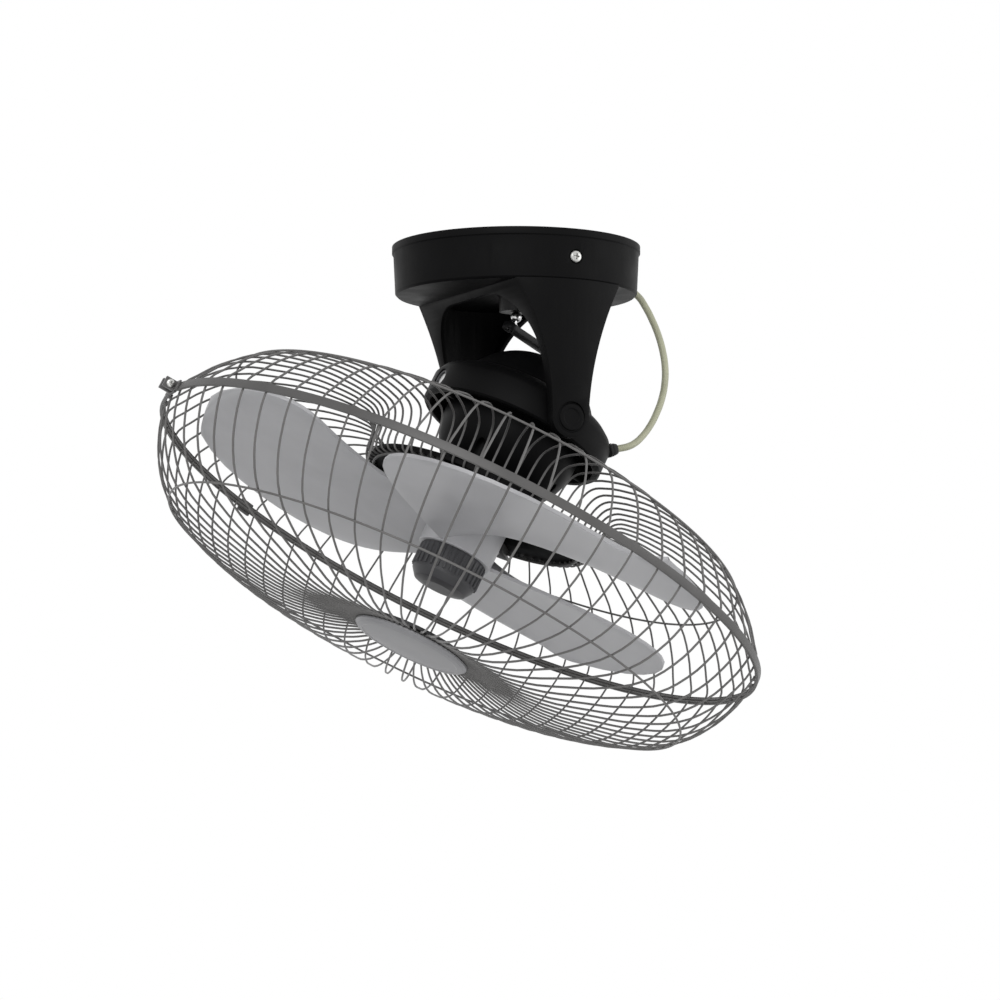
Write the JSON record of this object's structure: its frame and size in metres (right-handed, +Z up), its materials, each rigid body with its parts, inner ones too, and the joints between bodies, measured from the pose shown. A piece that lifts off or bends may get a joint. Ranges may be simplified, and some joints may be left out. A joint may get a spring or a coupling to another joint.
{
  "type": "orbital ceiling fan",
  "caption": "Ceiling fan whose caged head hangs in a gimbal ring between two yoke arms under a round canopy, and swings in a circle.",
  "frame": {"origin": "middle of the ceiling face, on the plane that lies against the ceiling", "axes": "+Z up into the ceiling; the yoke arms lie at -Y and +Y; at rest the head's axis leans in the XZ plane, so that the air leaves down and toward -X"},
  "size_m": [0.4103, 0.4534, 0.3566],
  "materials": {
    "black_plastic": "satin black moulding",
    "black_rubber": "matt",
    "zinc_steel": "zinc plated",
    "ground_steel": "ground",
    "guard_wire": "satin dark grey powder coat",
    "guard_trim": "satin dark grey powder coat",
    "grey_blade": "smooth mid grey moulding",
    "dark_grey_plastic": "satin dark grey moulding",
    "badge_grey": "smooth grey moulding",
    "badge_back_black": "satin black moulding",
    "cord_sheath": "soft greenish beige sheath",
    "ivory_nylon": "natural nylon",
    "brass": "turned",
    "bronze": "oil-soaked sintered bronze",
    "lamination": "varnished steel laminations",
    "copper_winding": "enamelled copper",
    "cast_zinc": "as cast",
    "black_coat": "satin black powder coat",
    "capacitor_case": "smooth white case"
  },
  "bodies": {
    "canopy": {"ceiling_plate": "zinc_steel", "canopy_yoke": "black_plastic", "canopy_screws": "zinc_steel", "terminal_block": "ivory_nylon", "terminal_screws": "brass", "block_screws": "zinc_steel", "earth_screw": "zinc_steel", "capacitor": "capacitor_case", "capacitor_clip": "zinc_steel", "crank_socket": "black_coat", "socket_screws": "zinc_steel", "cord_grommet": "black_rubber", "yoke_bushes": "dark_grey_plastic", "pivot_caps": "black_plastic", "lead_cord": "cord_sheath", "inner_lead": "cord_sheath"},
    "gimbal": {"gimbal_ring": "black_plastic", "yoke_pins": "ground_steel", "ring_bushes": "dark_grey_plastic", "cord_gland": "black_rubber"},
    "head": {"motor_rear_shell": "black_plastic", "motor_front_shell": "black_plastic", "shell_screws": "zinc_steel", "head_pins": "ground_steel", "stator_core": "lamination", "stator_windings": "copper_winding", "front_bearing": "bronze", "rear_bearing": "bronze", "rear_bracket": "zinc_steel", "bracket_screws": "zinc_steel", "swing_motor": "cast_zinc", "swing_screws": "zinc_steel", "guard_mount": "black_plastic", "mount_screws": "zinc_steel", "guard_clamps": "guard_trim", "clamp_screws": "zinc_steel", "rear_guard": "guard_wire", "front_guard": "guard_wire", "guard_band": "guard_trim", "band_buckle": "guard_trim", "buckle_screw": "zinc_steel", "guard_clip": "guard_trim", "front_badge": "badge_grey", "badge_back": "badge_back_black", "badge_screws": "zinc_steel"},
    "rotor": {"motor_shaft": "ground_steel", "rotor_core": "lamination", "impeller": "grey_blade", "drive_pin": "ground_steel", "spinner": "dark_grey_plastic"},
    "crank": {"crank_shaft": "ground_steel", "crank_arm": "black_coat", "crank_pin": "ground_steel", "crank_screw": "ground_steel"}
  },
  "joints": [
    {"name": "yoke_pivot", "type": "hinge", "parent": "canopy", "child": "gimbal", "pos_m": [0, 0, -0.127], "axis": [0, 1, 0], "range_deg": [-56, 0], "deforming": ["lead_cord"]},
    {"name": "head_pivot", "type": "hinge", "parent": "gimbal", "child": "head", "pos_m": [0, 0, -0.127], "axis": [0.8829, 0, -0.4695], "range_deg": [-28, 28]},
    {"name": "blade_spin", "type": "hinge", "parent": "head", "child": "rotor", "pos_m": [0, 0, -0.127], "axis": [-0.4695, 0, -0.8829], "continuous": true},
    {"name": "crank_spin", "type": "hinge", "parent": "head", "child": "crank", "pos_m": [0, 0, -0.127], "axis": [-0.4695, 0, -0.8829], "continuous": true}
  ]
}
